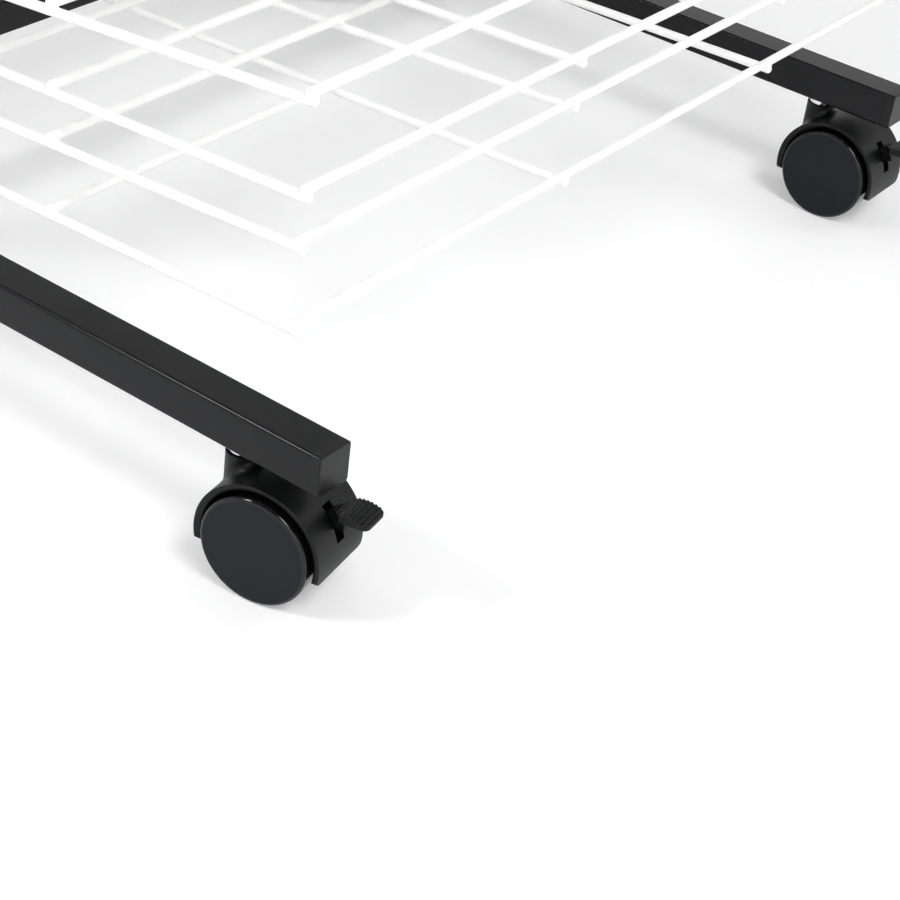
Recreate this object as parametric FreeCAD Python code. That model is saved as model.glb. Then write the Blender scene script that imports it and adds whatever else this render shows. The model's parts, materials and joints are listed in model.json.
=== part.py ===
import FreeCAD, Part
import math
import os

# Art drying rack: a black tube frame on four braked twin-wheel casters carries a stack of
# white welded-wire shelves that hinge up on the two rear uprights.
# Millimetres. +Z up, -Y is the open front, X across. The origin is on the floor, in the
# middle of the rack's width and of its depth from the brake pedals to the rear tube plugs.

V = FreeCAD.Vector
X_AXIS = V(1, 0, 0)
Y_AXIS = V(0, 1, 0)
Z_AXIS = V(0, 0, 1)

# ---- square tube frame
tube = 19.0                # outer width of every square tube
tube_wall = 1.5
tube_corner = 1.5          # outer corner radius
leg_length = 480.0         # with both end plugs
leg_spacing = 485.0        # between the centre planes of the two legs
leg_bottom = 60.0          # underside of the legs above the floor
upright_inset = 76.0       # from the legs' rear end to the uprights' rear faces
top_margin = 47.0          # top of the frame above the highest hinge
plug_flange = 5.0          # visible head of a tube plug
plug_spigot = 6.0
plug_slack = 0.05          # between a plug's spigot and the tube's inner wall

# ---- screws of the two crossbars
screw_d = 6.0
screw_head_d = 10.5
screw_head_h = 3.2
screw_grip = 9.0           # screwed into the threaded block
screw_slack = 0.1
block_length = 12.0        # threaded block in a crossbar's end

# ---- wire shelves
shelf_count = 16
shelf_pitch = 24.0
first_hinge_z = 124.0
lowest_tilts = [1.8, 3.3, 2.8, 4.7]    # degrees, front up, of the lowest shelves
upper_tilt = 7.2                       # of all shelves above them
wire_d = 3.2
wire_sides = 8             # a shelf wire is a bar of eight sides, round to 0.1 mm
bend_steps = 2             # straight steps in which a side wire is bent
shelf_overhang = 9.0       # from the uprights' outer faces to the side wires' centres
shelf_depth = 390.0        # from the hinge line to the front wire
cell_depth = 128.7         # between the cross wires of the two front rows
long_wire_overhang = 4.0   # of the long wires past the front wire's centre
rear_wire_to_hinge = 31.5
fence_to_hinge = 5.95      # the fence wire lies behind the uprights
fence_overhang = 4.0       # past the uprights' outer faces
long_wire_tail = 4.0       # of the inner long wires past the fence wire's centre
hinge_inset = 4.35         # from the hinge line to the uprights' rear faces
hinge_bend = 6.0           # bend radius of a side wire into its hinge pin
hinge_slack = 0.06         # radial, pin in its hole
pin_reach = 6.0            # of a hinge pin inside the upright

# ---- counterbalance springs
spring_d = 4.0
spring_length = 11.5
spring_face_gap = 0.4      # between the coil and the upright's rear face
spring_end_gap = 0.2       # from the coil to the fence wire above and the stud below
stud_d = 2.4
stud_length = 5.5

# ---- twin-wheel casters
stem_inset = 45.6          # from a leg's end to the caster's stem
trail = 18.6               # from the stem's axis to the wheels' axle
wheel_d = 50.0
wheel_width = 14.0
wheel_edge = 1.5
wheel_gap = 0.4            # beside the hood's web
web_width = 12.0
hood_width = 36.0
hood_gap = 1.5             # between a wheel's tread and the hood
hood_wall = 3.0
hood_front_end = 11.0      # degrees below the axle at which the hood ends
hood_rear_end = 14.0
hood_corner = 3.0          # radius of the corners of both ends
hood_edge = 1.2            # bevel along the hood's outer edges
collar_d = 15.0
collar_fillet = 3.0        # between the collar and the hood
collar_gap = 0.5           # under the stem's flange
stem_d = 8.0
stem_flange_d = 13.0
stem_flange_h = 3.0
stem_slack = 0.05
stem_depth = 19.0          # of the stem inside the hood
nut_af = 13.0
nut_h = 6.5
axle_d = 5.0
axle_slack = 0.05
axle_reach = 9.0           # of the axle inside each wheel
axle_end = 0.3
left_front_swivel = 9.0    # degrees, anticlockwise from above

# ---- brake lever
slot_width = 5.6
slot_low = 13.0            # degrees above the axle, seen from the axle
slot_high = 47.0
lever_plate = 4.8
lever_low = 25.5
lever_high = 41.0
lever_ring_d = 17.0
ring_slack = 0.5
pedal_width = 15.0
pedal_neck = 7.0           # width at the root
pedal_shoulder = 5.0       # from the root to the full width
pedal_corner = 2.5         # cut off the tip's corners
pedal_root = 26.4          # ahead of the axle
pedal_tip = 43.5
pedal_rise = 22.8          # of the tip above the axle
pedal_thickness = 3.6
pedal_crown = 2.2          # how far the top rises between root and tip
pedal_ridges = 9
ridge_height = 0.5

# ---- worked out from the sizes above
half_tube = tube / 2
tube_inner = tube - 2 * tube_wall
wheel_r = wheel_d / 2
wire_r = wire_d / 2
wire_across = wire_d * math.cos(math.radians(180.0 / wire_sides))
leg_top = leg_bottom + tube
pedal_front = trail + pedal_tip - stem_inset
leg_front_y = (pedal_front - leg_length) / 2
leg_rear_y = leg_front_y + leg_length
upright_rear_y = leg_rear_y - upright_inset
upright_y = upright_rear_y - half_tube
hinge_y = upright_rear_y - hinge_inset
last_hinge_z = first_hinge_z + (shelf_count - 1) * shelf_pitch
frame_top = last_hinge_z + top_margin
outer_face_x = leg_spacing / 2 + half_tube
inner_face_x = leg_spacing / 2 - half_tube
bar_length = 2 * inner_face_x
shelf_width = 2 * (outer_face_x + shelf_overhang)
hood_top_z = leg_bottom - stem_flange_h - collar_gap


def save(name, shape):
    shape.exportStep("parts/" + name + ".step")


def regular_polygon(across_corners, sides, centre, normal, turn=0.0):
    """Face of a regular polygon in the plane through centre."""
    side_axis = normal.cross(Z_AXIS)
    if side_axis.Length < 0.5:
        side_axis = X_AXIS
    side_axis.normalize()
    up_axis = normal.cross(side_axis)
    points = []
    for i in range(sides + 1):
        angle = math.radians(turn + 360.0 * i / sides)
        reach = side_axis * math.cos(angle) + up_axis * math.sin(angle)
        points.append(centre + reach * (across_corners / 2))
    return Part.Face(Part.makePolygon(points))


def rounded_square(width, corner):
    """Square face with rounded corners in the XY plane, centred on the origin."""
    half = width / 2
    flat = half - corner
    diagonal = flat + corner * math.cos(math.radians(45))
    edges = []
    for quarter in range(4):
        turn = FreeCAD.Rotation(Z_AXIS, 90 * quarter)
        side_start = turn.multVec(V(half, -flat, 0))
        side_end = turn.multVec(V(half, flat, 0))
        corner_mid = turn.multVec(V(diagonal, diagonal, 0))
        corner_end = turn.multVec(V(flat, half, 0))
        edges.append(Part.makeLine(side_start, side_end))
        edges.append(Part.Arc(side_end, corner_mid, corner_end).toShape())
    return Part.Face(Part.Wire(edges))


def square_tube(length):
    """Hollow tube along +Z from the origin."""
    outside = rounded_square(tube, tube_corner).extrude(V(0, 0, length))
    inside = Part.makeBox(tube_inner, tube_inner, length, V(-tube_inner / 2, -tube_inner / 2, 0))
    return outside.cut(inside)


def lay(shape, start, direction):
    """Turn a shape made along +Z to lie along direction, and put it at start."""
    shape.Placement = FreeCAD.Placement(start, FreeCAD.Rotation(Z_AXIS, direction))
    return shape


def hole(diameter, start, direction, length):
    return Part.makeCylinder(diameter / 2, length, start, direction)


# ---- frame

def stem_places():
    """Stem axes: name, side (-1 left, +1 right), y, and how far the caster is turned."""
    front = leg_front_y + stem_inset
    rear = leg_rear_y - stem_inset
    return [("front_left", -1, front, left_front_swivel), ("front_right", 1, front, 0.0),
            ("rear_left", -1, rear, 0.0), ("rear_right", 1, rear, 0.0)]


def make_leg(side):
    x = side * leg_spacing / 2
    middle_z = leg_bottom + half_tube
    leg = lay(square_tube(leg_length - 2 * plug_flange),
              V(x, leg_front_y + plug_flange, middle_z), Y_AXIS)
    cuts = []
    for name, stem_side, y, turn in stem_places():
        if stem_side == side:
            cuts.append(hole(stem_d + 2 * stem_slack, V(x, y, leg_bottom - 1), Z_AXIS,
                             tube_wall + 2))
    cuts.append(hole(screw_d + 2 * screw_slack, V(x - tube, upright_y, middle_z), X_AXIS,
                     2 * tube))
    return leg.cut(cuts)


def make_upright(side):
    x = side * leg_spacing / 2
    upright = lay(square_tube(frame_top - plug_flange - leg_top), V(x, upright_y, leg_top),
                  Z_AXIS)
    cuts = []
    outside = V(side * (outer_face_x + 1), hinge_y, 0)
    inward = V(-side, 0, 0)
    for i in range(shelf_count):
        start = outside + V(0, 0, first_hinge_z + i * shelf_pitch)
        cuts.append(hole(wire_d + 2 * hinge_slack, start, inward, tube_wall + 1.5))
    top_bar_z = frame_top - plug_flange - half_tube
    cuts.append(hole(screw_d + 2 * screw_slack, V(x - tube, upright_y, top_bar_z), X_AXIS,
                     2 * tube))
    return upright.cut(cuts)


def make_crossbar(z):
    """Tube between the two sides, with its centre line at height z."""
    return lay(square_tube(bar_length), V(-inner_face_x, upright_y, z), X_AXIS)


def make_plug(end, outward):
    """Plug in a tube whose end is at the point end; outward points out of the tube."""
    head = rounded_square(tube, tube_corner).extrude(V(0, 0, plug_flange))
    width = tube_inner - 2 * plug_slack
    spigot = Part.makeBox(width, width, plug_spigot, V(-width / 2, -width / 2, -plug_spigot))
    return lay(head.fuse(spigot), end, outward)


def make_plugs():
    plugs = []
    for side in (-1, 1):
        x = side * leg_spacing / 2
        z = leg_bottom + half_tube
        plugs.append(make_plug(V(x, leg_front_y + plug_flange, z), V(0, -1, 0)))
        plugs.append(make_plug(V(x, leg_rear_y - plug_flange, z), Y_AXIS))
        plugs.append(make_plug(V(x, upright_y, frame_top - plug_flange), Z_AXIS))
    return Part.makeCompound(plugs)


def bar_heights():
    return [leg_bottom + half_tube, frame_top - plug_flange - half_tube]


def make_screw(side, z):
    """Cap screw from the outside of the frame into the block in a crossbar's end."""
    shank = Part.makeCylinder(screw_d / 2, tube + screw_grip)
    head = Part.makeCylinder(screw_head_d / 2, screw_head_h, V(0, 0, -screw_head_h))
    return lay(head.fuse(shank), V(side * outer_face_x, upright_y, z), V(-side, 0, 0))


def make_screws():
    return Part.makeCompound([make_screw(side, z) for z in bar_heights() for side in (-1, 1)])


def make_threaded_block(side, z):
    """Steel block pressed into a crossbar's end; the screw runs in it."""
    width = tube_inner - 2 * plug_slack
    block = Part.makeBox(width, width, block_length, V(-width / 2, -width / 2, 0))
    block = block.cut(Part.makeCylinder(screw_d / 2 + stem_slack, block_length))
    return lay(block, V(side * inner_face_x, upright_y, z), V(-side, 0, 0))


def make_threaded_blocks():
    return Part.makeCompound(
        [make_threaded_block(side, z) for z in bar_heights() for side in (-1, 1)])


# ---- shelves

def bar(points, width, sides=wire_sides):
    """Straight wire or rod with flat ends, from the first point to the second."""
    start, end = points
    section = regular_polygon(width, sides, start, (end - start).normalize(), 180.0 / sides)
    return section.extrude(end - start)


def make_side_wire(side):
    """Long wire at the shelf's edge, bent inward at the hinge line into its own pin."""
    x = side * shelf_width / 2
    front = V(x, -shelf_depth - long_wire_overhang, 0)
    points = [front]
    for i in range(bend_steps):
        angle = math.radians(90.0 * (i + 0.5) / bend_steps)
        reach = hinge_bend / math.cos(math.radians(45.0 / bend_steps))
        points.append(V(x - side * (hinge_bend - reach * math.cos(angle)),
                        reach * math.sin(angle) - hinge_bend, 0))
    points.append(V(side * (outer_face_x - tube_wall - pin_reach), 0, 0))
    section = regular_polygon(wire_d, wire_sides, front, Y_AXIS, 180.0 / wire_sides)
    path = Part.makePolygon(points)
    return path.makePipeShell([section.OuterWire], True, False, 1)


def make_shelf(tilt, hinge_z):
    """Welded grid: long wires below, cross wires on top. Its hinge line is local X."""
    wires = [make_side_wire(-1), make_side_wire(1)]
    for side in (-1, 1):
        x = side * shelf_width / 6
        wires.append(bar([V(x, -shelf_depth - long_wire_overhang, 0),
                          V(x, fence_to_hinge + long_wire_tail, 0)], wire_d))
    half = shelf_width / 2 + wire_r
    for y in (-shelf_depth, cell_depth - shelf_depth, 2 * cell_depth - shelf_depth,
              -rear_wire_to_hinge):
        wires.append(bar([V(-half, y, wire_across), V(half, y, wire_across)], wire_d))
    half = outer_face_x + fence_overhang
    wires.append(bar([V(-half, fence_to_hinge, wire_across),
                      V(half, fence_to_hinge, wire_across)], wire_d))
    shelf = Part.makeCompound(wires)
    shelf.rotate(V(0, 0, 0), X_AXIS, -tilt)
    shelf.translate(V(0, hinge_y, hinge_z))
    return shelf


def shelf_tilt(i):
    if i < len(lowest_tilts):
        return lowest_tilts[i]
    return upper_tilt


# ---- casters, made with the stem on the Z axis and the axle ahead of it at -Y

def arc_point(radius, degrees):
    """Point of a circle about the axle; 0 degrees is straight ahead, 90 is up."""
    angle = math.radians(degrees)
    return V(0, -trail - radius * math.cos(angle), wheel_r + radius * math.sin(angle))


def arc_between(radius, start, end):
    middle = arc_point(radius, (start + end) / 2)
    return Part.Arc(arc_point(radius, start), middle, arc_point(radius, end)).toShape()


def slab(face, width):
    """Extrude a face of the YZ plane to both sides of the plane."""
    face.translate(V(-width / 2, 0, 0))
    return face.extrude(V(width, 0, 0))


def disc(radius, width):
    return Part.makeCylinder(radius, width, V(-width / 2, -trail, wheel_r), X_AXIS)


def sector(inner, outer, start, end):
    edges = [arc_between(outer, start, end),
             Part.makeLine(arc_point(outer, end), arc_point(inner, end)),
             arc_between(inner, end, start),
             Part.makeLine(arc_point(inner, start), arc_point(outer, start))]
    return Part.Face(Part.Wire(edges))


def collar_foot(hood):
    """Edge in which the collar's wall meets the hood's round top."""
    return [edge for edge in hood.Edges
            if edge.BoundBox.XLength > collar_d - 0.1
            and edge.BoundBox.XMax < collar_d / 2 + 0.1
            and edge.BoundBox.ZMax < hood_top_z - 0.1]


def side_arcs(hood, radius):
    """Outer edges of the hood's two sides."""
    return [edge for edge in hood.Edges
            if edge.BoundBox.XLength < 0.01 and edge.BoundBox.YLength > 1.9 * radius]


def end_corners(hood):
    """Short straight edges at the corners of the hood's front and rear ends."""
    side_x = hood_width / 2
    return [edge for edge in hood.Edges
            if edge.Curve.TypeId == "Part::GeomLine"
            and min(abs(corner.X) for corner in edge.Vertexes) > side_x - 0.01]


def make_hood():
    """Moulded cover of both wheels, with its web, its collar and the brake's slot."""
    well_r = wheel_r + hood_gap
    outer_r = well_r + hood_wall
    front, rear = -hood_front_end, 180 + hood_rear_end
    side_view = Part.Face(Part.Wire([
        arc_between(outer_r, front, rear),
        Part.makeLine(arc_point(outer_r, rear), arc_point(outer_r, front))]))
    hood = slab(side_view, hood_width)
    collar = Part.makeCylinder(collar_d / 2, hood_top_z - wheel_r, V(0, 0, wheel_r))
    hood = hood.fuse(collar).removeSplitter()
    hood = hood.makeFillet(collar_fillet, collar_foot(hood))
    hood = hood.makeChamfer(hood_edge, side_arcs(hood, outer_r))
    side_width = (hood_width - web_width) / 2 + 1
    for side in (-1, 1):
        start = V(side * web_width / 2, -trail, wheel_r)
        hood = hood.cut(Part.makeCylinder(well_r, side_width, start, V(side, 0, 0)))
    hood = hood.makeFillet(hood_corner, end_corners(hood))
    cavity = disc(lever_ring_d / 2 + ring_slack, slot_width)
    slot = slab(sector(axle_d, outer_r + 1, slot_low, slot_high), slot_width)
    stem_hole = Part.makeCylinder(stem_d / 2 + stem_slack, stem_depth + collar_gap,
                                  V(0, 0, hood_top_z - stem_depth))
    return hood.cut([cavity, slot, stem_hole, disc(axle_d / 2, web_width + 2)])


def make_wheel(side):
    """One wheel: a flat outer face, a plain tread and a blind bore from the inner side."""
    inner = web_width / 2 + wheel_gap
    wheel = Part.makeCylinder(wheel_r, wheel_width, V(inner, 0, 0), X_AXIS)
    outer_rim = [e for e in wheel.Edges if e.BoundBox.XMin > inner + wheel_width / 2]
    wheel = wheel.makeChamfer(wheel_edge, outer_rim)
    bore = Part.makeCylinder(axle_d / 2 + axle_slack, axle_reach + axle_end, V(inner, 0, 0),
                             X_AXIS)
    wheel = wheel.cut(bore)
    if side < 0:
        wheel.rotate(V(0, 0, 0), Z_AXIS, 180)
    wheel.translate(V(0, -trail, wheel_r))
    return wheel


def make_axle():
    return disc(axle_d / 2, web_width + 2 * (wheel_gap + axle_reach))


def pedal_plan(root_y, tip_y):
    """Pedal as seen from above: a narrow neck, straight sides and blunted tip corners."""
    half = pedal_width / 2
    right_side = [V(pedal_neck / 2, root_y + 1, 0), V(pedal_neck / 2, root_y, 0),
                  V(half, root_y - pedal_shoulder, 0), V(half, tip_y + pedal_corner, 0),
                  V(half - pedal_corner, tip_y - 1, 0)]
    left_side = [V(-point.x, point.y, 0) for point in reversed(right_side)]
    outline = Part.makePolygon(right_side + left_side + right_side[:1])
    return Part.Face(outline).extrude(V(0, 0, 2 * wheel_d))


def make_lever():
    """Brake lever: a ring on the axle, an arm through the hood's slot and a ridged pedal."""
    ring = disc(lever_ring_d / 2, lever_plate)
    root = V(0, -trail - pedal_root, wheel_r + pedal_rise - pedal_thickness / 4)
    tip = V(0, -trail - pedal_tip, wheel_r + pedal_rise)
    arm = slab(sector(axle_d, math.hypot(pedal_root, pedal_rise), lever_low, lever_high),
               lever_plate)
    along = tip - root
    up = V(0, along.z, -along.y).normalize()
    ridged_top = []
    for i in range(pedal_ridges):
        for share, height in ((0.0, 0.0), (0.75, ridge_height)):
            place = (i + share) / pedal_ridges
            crown = pedal_crown * math.sin(math.pi * place)
            ridged_top.append(root + along * place + up * (crown + height))
    belly = root + along * 0.5 - up * (pedal_thickness - pedal_crown)
    outline = ridged_top + [tip, belly, root - up * (pedal_thickness / 2), root]
    pedal = slab(Part.Face(Part.makePolygon(outline)), pedal_width)
    pedal = pedal.common(pedal_plan(root.y, tip.y))
    lever = ring.fuse([arm, pedal]).removeSplitter()
    return lever.cut(disc(axle_d / 2 + axle_slack, lever_plate + 2))


def make_stem():
    """Chromed stem: flange under the leg, spigot in the hood, thread through the nut."""
    flange = Part.makeCylinder(stem_flange_d / 2, stem_flange_h,
                               V(0, 0, leg_bottom - stem_flange_h))
    bottom = hood_top_z - stem_depth + collar_gap
    top = leg_bottom + tube_wall + nut_h + 1
    return flange.fuse(Part.makeCylinder(stem_d / 2, top - bottom, V(0, 0, bottom)))


def make_nut():
    corners = nut_af / math.cos(math.radians(30))
    nut = regular_polygon(corners, 6, V(0, 0, leg_bottom + tube_wall), Z_AXIS)
    nut = nut.extrude(V(0, 0, nut_h))
    return nut.cut(Part.makeCylinder(stem_d / 2 + stem_slack, nut_h,
                                     V(0, 0, leg_bottom + tube_wall)))


def at_stem(shape, side, y, turn):
    shape.rotate(V(0, 0, 0), Z_AXIS, turn)
    shape.translate(V(side * leg_spacing / 2, y, 0))
    return shape


# ---- springs, one behind an upright for each shelf, left and right in turn

def spring_side(i):
    return -1 if i % 2 == 0 else 1


def fence_wire_place(i):
    """Y and Z of the centre of a shelf's fence wire."""
    tilt = math.radians(shelf_tilt(i))
    rise = wire_across * math.cos(tilt) - fence_to_hinge * math.sin(tilt)
    back = fence_to_hinge * math.cos(tilt) + wire_across * math.sin(tilt)
    return hinge_y + back, first_hinge_z + i * shelf_pitch + rise


def spring_ends(i):
    """Top and bottom of a spring's coil, between the fence wire and the stud."""
    fence_y, fence_z = fence_wire_place(i)
    x = spring_side(i) * leg_spacing / 2
    y = upright_rear_y + spring_face_gap + spring_d / 2
    top = V(x, y, fence_z - wire_r - spring_end_gap)
    return top, top - V(0, 0, spring_length)


def make_springs():
    return Part.makeCompound([bar(spring_ends(i), spring_d, 6) for i in range(shelf_count)])


def make_spring_stud(i):
    """Short stud welded to the upright's rear face, which holds a spring's lower end."""
    top, bottom = spring_ends(i)
    z = bottom.z - spring_end_gap - stud_d / 2
    start = V(bottom.x, upright_rear_y, z)
    return bar([start, start + V(0, stud_length, 0)], stud_d, 6)


def make_spring_studs():
    return Part.makeCompound([make_spring_stud(i) for i in range(shelf_count)])


os.makedirs("parts", exist_ok=True)

for side, label in ((-1, "left"), (1, "right")):
    save(label + "_leg", make_leg(side))
    save(label + "_upright", make_upright(side))
save("rear_crossbar", make_crossbar(bar_heights()[0]))
save("top_bar", make_crossbar(bar_heights()[1]))
save("tube_plugs", make_plugs())
save("frame_screws", make_screws())
save("threaded_blocks", make_threaded_blocks())

for i in range(shelf_count):
    save("shelf_%02d" % (i + 1), make_shelf(shelf_tilt(i), first_hinge_z + i * shelf_pitch))
save("shelf_springs", make_springs())
save("spring_studs", make_spring_studs())

stems = []
nuts = []
for name, side, y, turn in stem_places():
    save(name + "_caster_hood", at_stem(make_hood(), side, y, turn))
    save(name + "_caster_left_wheel", at_stem(make_wheel(-1), side, y, turn))
    save(name + "_caster_right_wheel", at_stem(make_wheel(1), side, y, turn))
    save(name + "_caster_axle", at_stem(make_axle(), side, y, turn))
    save(name + "_brake_lever", at_stem(make_lever(), side, y, turn))
    stems.append(at_stem(make_stem(), side, y, 0))
    nuts.append(at_stem(make_nut(), side, y, 0))
save("caster_stems", Part.makeCompound(stems))
save("stem_nuts", Part.makeCompound(nuts))
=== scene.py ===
import bmesh
import bpy
import json
import math
from mathutils import Matrix, Quaternion, Vector


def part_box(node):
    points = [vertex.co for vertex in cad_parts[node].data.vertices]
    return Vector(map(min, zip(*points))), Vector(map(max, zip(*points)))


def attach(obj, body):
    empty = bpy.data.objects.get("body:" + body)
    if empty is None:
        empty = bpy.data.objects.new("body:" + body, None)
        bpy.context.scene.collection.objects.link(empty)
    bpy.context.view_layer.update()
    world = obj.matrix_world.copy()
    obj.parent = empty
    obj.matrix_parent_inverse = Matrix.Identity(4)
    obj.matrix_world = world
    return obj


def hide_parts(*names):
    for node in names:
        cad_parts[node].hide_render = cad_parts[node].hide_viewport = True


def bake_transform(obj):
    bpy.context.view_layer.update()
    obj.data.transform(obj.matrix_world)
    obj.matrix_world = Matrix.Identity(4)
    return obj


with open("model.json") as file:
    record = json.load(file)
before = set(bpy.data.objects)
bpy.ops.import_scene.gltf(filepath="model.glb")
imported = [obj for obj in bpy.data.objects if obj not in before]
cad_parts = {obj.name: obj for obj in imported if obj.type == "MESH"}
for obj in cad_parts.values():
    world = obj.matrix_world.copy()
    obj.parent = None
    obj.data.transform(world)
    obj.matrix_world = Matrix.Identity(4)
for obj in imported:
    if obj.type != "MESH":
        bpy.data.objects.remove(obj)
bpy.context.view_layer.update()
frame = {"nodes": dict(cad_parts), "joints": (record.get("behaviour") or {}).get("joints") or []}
nodes = frame["nodes"]
joints = {joint["name"]: joint for joint in frame["joints"]}

# ---- Frame tubes -------------------------------------------------------------------------
# Legs, uprights and crossbars: cold-drawn square steel tube, sawn to length, drilled for the
# stems, screws and hinge pins, and powder coated black.

tube_wall = 0.0015
tube_corner = 0.0015
screw_hole_r = 0.0031
stem_hole_r = 0.00405
pin_hole_r = 0.00206
cutter_start = 0.001  # how far outside a face a drill or cutter starts
near = 1e-5  # points that are closer than this are at the same place
left, right = -1, 1


def srgb(code):
    """Linear colour of a hex code such as 1a2b3c."""
    values = [int(code[i:i + 2], 16) / 255 for i in (0, 2, 4)]
    linear = [v / 12.92 if v <= 0.04045 else ((v + 0.055) / 1.055) ** 2.4 for v in values]
    return (*linear, 1.0)


def add_node(material, kind, inputs=None, **settings):
    """Add a shader node, with its settings and with values or links for its inputs."""
    node = material.node_tree.nodes.new(kind)
    for name, value in settings.items():
        setattr(node, name, value)
    for name, value in (inputs or {}).items():
        if isinstance(value, bpy.types.NodeSocket):
            material.node_tree.links.new(value, node.inputs[name])
        else:
            node.inputs[name].default_value = value
    return node


def new_material(name):
    """Empty material with its shader and the object's own coordinates."""
    material = bpy.data.materials.new(name)
    material.use_nodes = True
    shader = material.node_tree.nodes["Principled BSDF"]
    place = add_node(material, "ShaderNodeTexCoord").outputs["Object"]
    return material, shader, place


def link(material, output, shader, name):
    material.node_tree.links.new(output, shader.inputs[name])


def make_black_powder_coat():
    """Polyester powder, baked: satin black with the faint orange peel that baking leaves."""
    material, shader, place = new_material("black_powder_coat")
    peel_size, patch_size = 0.0011, 0.045
    peel = add_node(material, "ShaderNodeTexNoise",
                    {"Vector": place, "Scale": 1 / peel_size, "Detail": 1.5})
    patches = add_node(material, "ShaderNodeTexNoise",
                       {"Vector": place, "Scale": 1 / patch_size, "Detail": 3.0})
    gloss = add_node(material, "ShaderNodeMapRange",
                     {"Value": patches.outputs["Fac"], "To Min": 0.17, "To Max": 0.23})
    bump = add_node(material, "ShaderNodeBump",
                    {"Height": peel.outputs["Fac"], "Strength": 0.25, "Distance": 0.00008})
    shader.inputs["Base Color"].default_value = srgb("090a0d")
    shader.inputs["IOR"].default_value = 1.48
    shader.inputs["Specular IOR Level"].default_value = 0.26
    link(material, gloss.outputs["Result"], shader, "Roughness")
    link(material, bump.outputs["Normal"], shader, "Normal")
    return material


def select_only(piece):
    bpy.ops.object.select_all(action="DESELECT")
    piece.select_set(True)
    bpy.context.view_layer.objects.active = piece


def settle(piece):
    """Move the piece's place, turn and size into its mesh."""
    select_only(piece)
    bpy.ops.object.transform_apply(location=True, rotation=True, scale=True)
    return piece


def add_block(name, low, high):
    """Block that fills the box from its lowest to its highest corner."""
    bpy.ops.object.select_all(action="DESELECT")
    low, high = Vector(low), Vector(high)
    bpy.ops.mesh.primitive_cube_add(size=1, location=(low + high) / 2)
    piece = bpy.context.object
    piece.name = name
    piece.scale = high - low
    return settle(piece)


def add_rod(name, start, end, radius, sides=48):
    """Round rod from the point start to the point end."""
    bpy.ops.object.select_all(action="DESELECT")
    start, end = Vector(start), Vector(end)
    bpy.ops.mesh.primitive_cylinder_add(vertices=sides, radius=radius,
                                        depth=(end - start).length,
                                        location=(start + end) / 2)
    piece = bpy.context.object
    piece.name = name
    piece.rotation_mode = "QUATERNION"
    piece.rotation_quaternion = (end - start).to_track_quat("Z", "Y")
    return settle(piece)


def start_edit(piece, mode):
    """Edit mode with nothing selected; mode is VERT, EDGE or FACE."""
    select_only(piece)
    bpy.ops.object.mode_set(mode="EDIT")
    bpy.ops.mesh.select_mode(type=mode)
    bpy.ops.mesh.select_all(action="DESELECT")


def pick_faces(piece, wanted):
    """Select the faces for which wanted(centre, normal) is true."""
    mesh = bmesh.from_edit_mesh(piece.data)
    for face in mesh.faces:
        face.select_set(wanted(face.calc_center_median(), face.normal))
    mesh.select_flush_mode()
    bmesh.update_edit_mesh(piece.data)


def pick_edges(piece, wanted):
    """Select the edges for which wanted(middle, direction) is true."""
    mesh = bmesh.from_edit_mesh(piece.data)
    for edge in mesh.edges:
        first, second = edge.verts[0].co, edge.verts[1].co
        edge.select_set(wanted((first + second) / 2, (second - first).normalized()))
    mesh.select_flush_mode()
    bmesh.update_edit_mesh(piece.data)


def end_edit():
    bpy.ops.object.mode_set(mode="OBJECT")


def bevel_edges(piece, wanted, offset, segments):
    """Bevel the edges for which wanted(middle, direction) is true."""
    start_edit(piece, "EDGE")
    pick_edges(piece, wanted)
    bpy.ops.mesh.bevel(offset=offset, segments=segments)
    end_edit()


def merge_doubles(piece, distance):
    """Merge the corners that lie within that distance of each other."""
    start_edit(piece, "VERT")
    bpy.ops.mesh.select_all(action="SELECT")
    bpy.ops.mesh.remove_doubles(threshold=distance)
    end_edit()


def apply_modifier(piece, kind, **settings):
    select_only(piece)
    modifier = piece.modifiers.new(kind.lower(), kind)
    for name, value in settings.items():
        setattr(modifier, name, value)
    bpy.ops.object.modifier_apply(modifier=modifier.name)


def carve(piece, *cutters, operation="DIFFERENCE"):
    """Take the cutters away from the piece, or join or intersect it with them."""
    for cutter in cutters:
        apply_modifier(piece, "BOOLEAN", object=cutter, operation=operation, solver="EXACT")
        bpy.data.objects.remove(cutter)
    return piece


def smooth(piece, angle=35):
    """Smooth shading up to that angle in degrees, with flat faces kept flat."""
    select_only(piece)
    bpy.ops.object.shade_smooth_by_angle(angle=math.radians(angle))
    apply_modifier(piece, "WEIGHTED_NORMAL", keep_sharp=True, weight=80)
    return piece


def coat(piece, material):
    """Give the whole piece one material."""
    piece.data.materials.clear()
    piece.data.materials.append(material)


def finish_piece(piece, body, material, slot, *replaced):
    """Give the piece its material and its body, and hide the CAD nodes that it stands for."""
    coat(piece, material)
    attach(piece, body)
    if replaced:
        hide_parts(*replaced)
    return piece


def make_tube(node, along):
    """Square tube in the place of a CAD node, open at both ends; along is its long axis."""
    low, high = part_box(node)
    tube = add_block(node + "_tube", low, high)
    axis = "xyz".index(along)
    start_edit(tube, "FACE")
    pick_faces(tube, lambda centre, normal: abs(normal[axis]) > 0.9)
    bpy.ops.mesh.delete(type="ONLY_FACE")
    end_edit()
    bevel_edges(tube, lambda middle, direction: abs(direction[axis]) > 0.9, tube_corner, 5)
    apply_modifier(tube, "SOLIDIFY", thickness=tube_wall, offset=-1, use_even_offset=True)
    merge_doubles(tube, 2 * near)
    return tube


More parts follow.
